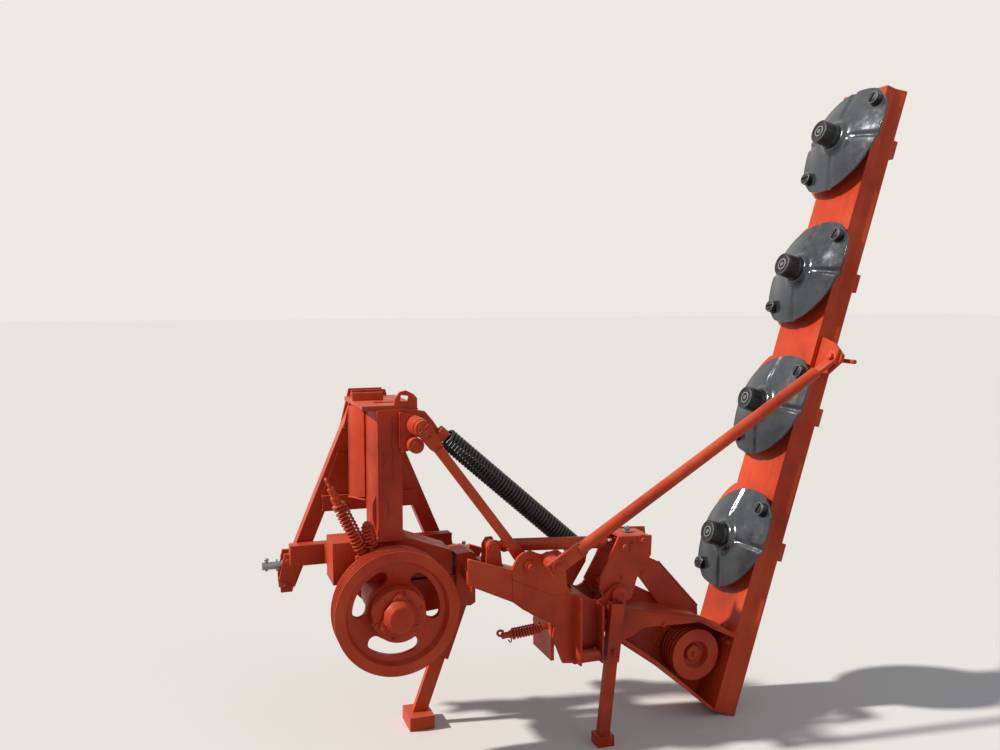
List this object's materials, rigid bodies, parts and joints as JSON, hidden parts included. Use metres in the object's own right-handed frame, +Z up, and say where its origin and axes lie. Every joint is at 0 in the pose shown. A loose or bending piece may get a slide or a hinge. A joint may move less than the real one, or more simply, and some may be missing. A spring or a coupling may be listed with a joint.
{
  "type": "disc mower",
  "caption": "Three-point mounted rotary disc mower with a triangular hitch frame, belt pulleys, a long balance spring and a folding cutter bar with oval knife discs.",
  "frame": {"origin": "on the floor, under the middle of the parked machine's bounding box", "axes": "+Z up, +Y forward in the direction of travel (toward the tractor), +X toward the cutter bar, to the machine's right"},
  "size_m": [2.3405, 0.714, 2.3381],
  "materials": {
    "orange_red_enamel": "satin orange-red enamel, dusty and scratched",
    "bare_steel": "bare turned steel, dull",
    "chromed_rod": "hard chromed",
    "graphite_enamel": "glossy graphite black enamel",
    "black_enamel": "semi-gloss black enamel",
    "spring_black": "black enamelled spring steel"
  },
  "bodies": {
    "frame": {"hitch_legs": "orange_red_enamel", "hitch_tie": "orange_red_enamel", "infill_plate": "orange_red_enamel", "mast_column": "orange_red_enamel", "mast_channel": "orange_red_enamel", "top_bracket": "orange_red_enamel", "cross_beam": "orange_red_enamel", "hitch_pins": "bare_steel", "bearing_housing": "orange_red_enamel", "pin_boss": "orange_red_enamel", "tension_rod": "orange_red_enamel", "belt_tensioner": "orange_red_enamel", "tensioner_spring": "orange_red_enamel", "subframe_root": "orange_red_enamel", "subframe_beam": "orange_red_enamel", "ear_plate": "orange_red_enamel", "end_clevis": "orange_red_enamel", "clevis_tube": "orange_red_enamel", "release_rod": "orange_red_enamel", "release_spring": "orange_red_enamel", "balance_spring": "spring_black", "spring_anchors": "orange_red_enamel", "stand_sockets": "orange_red_enamel", "cylinder_lug": "orange_red_enamel", "fold_pin": "bare_steel"},
    "park_stand": {"park_stand": "orange_red_enamel"},
    "shoe_stand": {"shoe_stand": "orange_red_enamel"},
    "drive_pulley": {"drive_pulley": "orange_red_enamel", "drive_hub": "orange_red_enamel", "input_shaft": "bare_steel"},
    "cutter_bar": {"bar_panel": "orange_red_enamel", "bar_guards": "orange_red_enamel", "skid_shoes": "orange_red_enamel", "end_plate": "orange_red_enamel", "transport_lug": "orange_red_enamel", "inner_shoe": "orange_red_enamel", "bevel_gearbox": "orange_red_enamel", "lift_lever": "orange_red_enamel", "link_plate": "orange_red_enamel", "rotor_necks": "orange_red_enamel"},
    "driven_pulley": {"driven_pulley": "orange_red_enamel", "driven_hub": "bare_steel"},
    "rotor_1": {"rotor_1": "graphite_enamel", "cap_1": "black_enamel"},
    "rotor_2": {"rotor_2": "graphite_enamel", "cap_2": "black_enamel"},
    "rotor_3": {"rotor_3": "graphite_enamel", "cap_3": "black_enamel"},
    "rotor_4": {"rotor_4": "graphite_enamel", "cap_4": "black_enamel"},
    "transport_rod": {"transport_rod": "orange_red_enamel"},
    "cylinder_barrel": {"cylinder_barrel": "orange_red_enamel"},
    "cylinder_rod": {"cylinder_rod": "chromed_rod"}
  },
  "joints": [
    {"name": "drive_pulley_spin", "type": "hinge", "parent": "frame", "child": "drive_pulley", "pos_m": [-0.7885, -0.14, 0.5094], "axis": [0, 1, 0], "continuous": true},
    {"name": "bar_fold", "type": "hinge", "parent": "frame", "child": "cutter_bar", "pos_m": [-0.0185, -0.147, 0.5134], "axis": [0, 1, 0], "range_deg": [0, 73.3]},
    {"name": "driven_pulley_spin", "type": "hinge", "parent": "cutter_bar", "child": "driven_pulley", "pos_m": [0.3295, -0.14, 0.2314], "axis": [0, 1, 0], "continuous": true},
    {"name": "rotor_1_spin", "type": "hinge", "parent": "cutter_bar", "child": "rotor_1", "pos_m": [0.5685, -0.098, 0.6244], "axis": [-0.9576, 0, 0.288], "continuous": true},
    {"name": "rotor_2_spin", "type": "hinge", "parent": "cutter_bar", "child": "rotor_2", "pos_m": [0.71972, -0.098, 1.12715], "axis": [-0.9576, 0, 0.288], "continuous": true},
    {"name": "rotor_3_spin", "type": "hinge", "parent": "cutter_bar", "child": "rotor_3", "pos_m": [0.87093, -0.098, 1.6299], "axis": [-0.9576, 0, 0.288], "continuous": true},
    {"name": "rotor_4_spin", "type": "hinge", "parent": "cutter_bar", "child": "rotor_4", "pos_m": [1.02215, -0.098, 2.13265], "axis": [-0.9576, 0, 0.288], "continuous": true},
    {"name": "transport_rod_swing", "type": "hinge", "parent": "frame", "child": "transport_rod", "pos_m": [-0.2825, -0.322, 0.6614], "axis": [0, 1, 0], "range_deg": [-50, 0]},
    {"name": "cylinder_swing", "type": "hinge", "parent": "frame", "child": "cylinder_barrel", "pos_m": [-0.4585, -0.15, 0.7044], "axis": [0, 1, 0], "range_deg": [0, 16]},
    {"name": "cylinder_stroke", "type": "slide", "parent": "cylinder_barrel", "child": "cylinder_rod", "axis": [0.9983, 0, -0.0579], "range_m": [0, 0.146]},
    {"name": "park_stand_slide", "type": "slide", "parent": "frame", "child": "park_stand", "axis": [0.342, 0, 0.9397], "range_m": [0, 0.17]},
    {"name": "shoe_stand_slide", "type": "slide", "parent": "frame", "child": "shoe_stand", "axis": [0.1045, 0, 0.9945], "range_m": [0, 0.2]}
  ],
  "couplings": [
    {"joint": "cylinder_swing", "follows": "bar_fold", "ratio": 0.2037},
    {"joint": "cylinder_stroke", "follows": "bar_fold", "m_per_rad": 0.1126},
    {"joint": "rotor_1_spin", "follows": "driven_pulley_spin", "ratio": 2},
    {"joint": "rotor_2_spin", "follows": "driven_pulley_spin", "ratio": -2},
    {"joint": "rotor_3_spin", "follows": "driven_pulley_spin", "ratio": 2},
    {"joint": "rotor_4_spin", "follows": "driven_pulley_spin", "ratio": -2}
  ]
}
